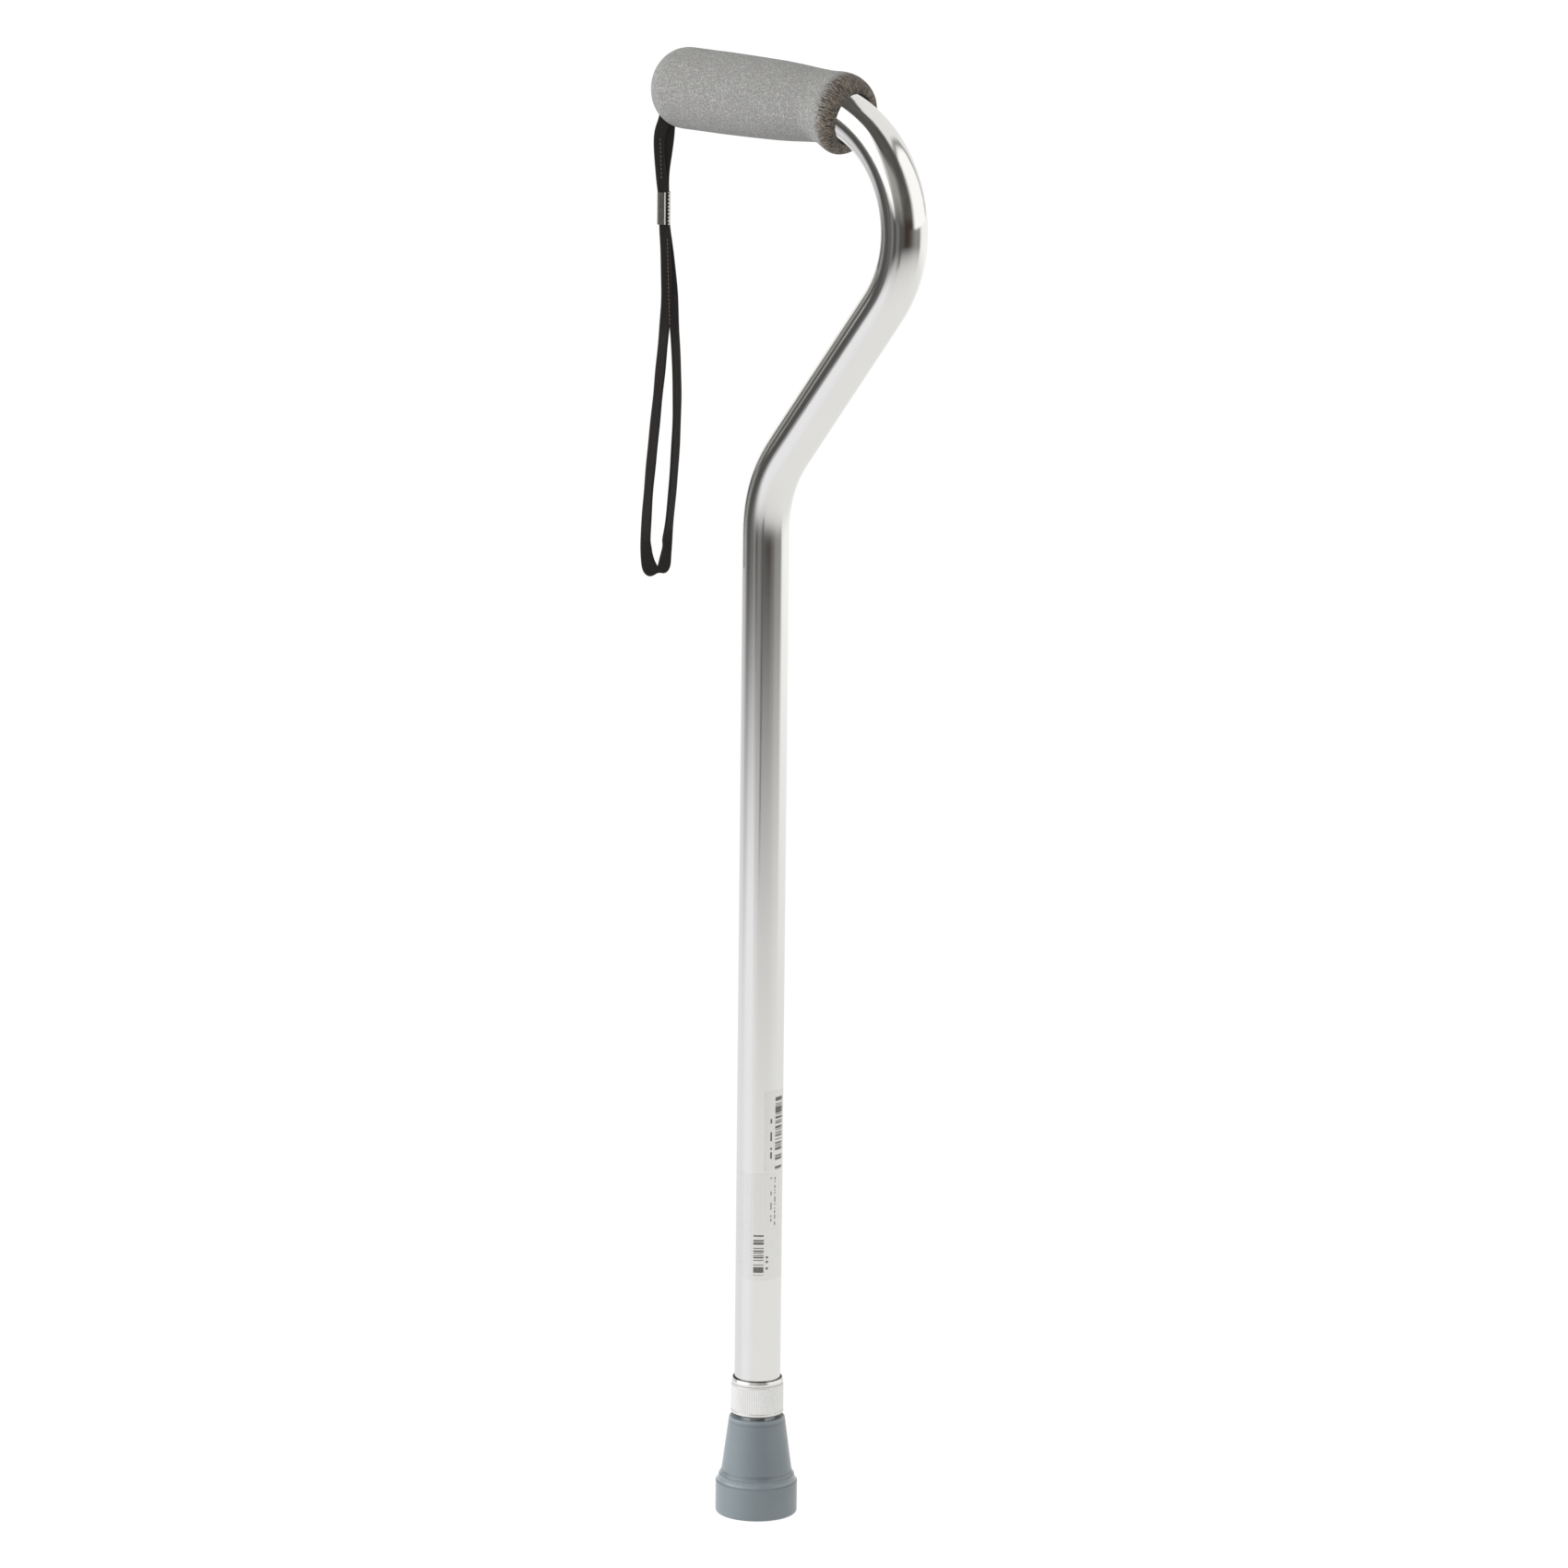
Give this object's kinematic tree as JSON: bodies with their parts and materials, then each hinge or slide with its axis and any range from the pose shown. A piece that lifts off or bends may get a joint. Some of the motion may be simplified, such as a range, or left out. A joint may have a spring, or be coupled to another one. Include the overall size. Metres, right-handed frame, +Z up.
{
  "type": "single point cane",
  "caption": "Height-adjustable single point cane: offset bent tube, foam grip, wrist strap, telescoping lower tube, snap button, locking ring and rubber tip.",
  "frame": {"origin": "centre of the rubber tip's ground face", "axes": "+Z up the shaft, -X the way the handle points, Y across the plane of the bends"},
  "size_m": [0.1678, 0.0424, 0.7101],
  "materials": {
    "tube_aluminium": "polished",
    "lower_aluminium": "satin",
    "ring_metal": "bright, fine vertical knurl",
    "foam_grey": "soft closed-cell foam",
    "webbing_black": "woven tape",
    "ferrule_steel": "plated crimp",
    "nylon_black": "moulded",
    "nylon_grey": "moulded",
    "button_steel": "plated steel",
    "tip_rubber": "satin moulded rubber",
    "label_film": "clear printed film, left blank"
  },
  "bodies": {
    "handle": {"handle_tube": "tube_aluminium", "handle_end_plug": "nylon_black", "foam_grip": "foam_grey", "strap_neck": "webbing_black", "strap_loop": "webbing_black", "strap_ferrule": "ferrule_steel", "label_upper": "label_film", "label_lower": "label_film"},
    "collet": {"split_collet": "nylon_grey"},
    "ring": {"locking_ring": "ring_metal"},
    "lower": {"lower_tube": "lower_aluminium", "guide_bush": "nylon_grey", "button_spring": "button_steel", "rubber_tip": "tip_rubber", "tip_washer": "button_steel"},
    "button": {"snap_button": "button_steel"}
  },
  "joints": [
    {"name": "height_slide", "type": "slide", "parent": "handle", "child": "lower", "axis": [0, 0, -1], "range_m": [0, 0.2286]},
    {"name": "collet_slide", "type": "slide", "parent": "handle", "child": "collet", "axis": [0, 0, -1], "range_m": [0, 0.001]},
    {"name": "ring_turn", "type": "hinge", "parent": "collet", "child": "ring", "pos_m": [0, 0, 0.059], "axis": [0, 0, -1], "range_deg": [0, 360]},
    {"name": "button_press", "type": "slide", "parent": "lower", "child": "button", "axis": [1, 0, 0], "range_m": [0, 0.0032], "stiffness_N_per_m": 1500, "springref_m": -0.002, "deforming": ["button_spring"]}
  ],
  "couplings": [
    {"joint": "collet_slide", "follows": "ring_turn", "m_per_rad": 0.00015915}
  ]
}
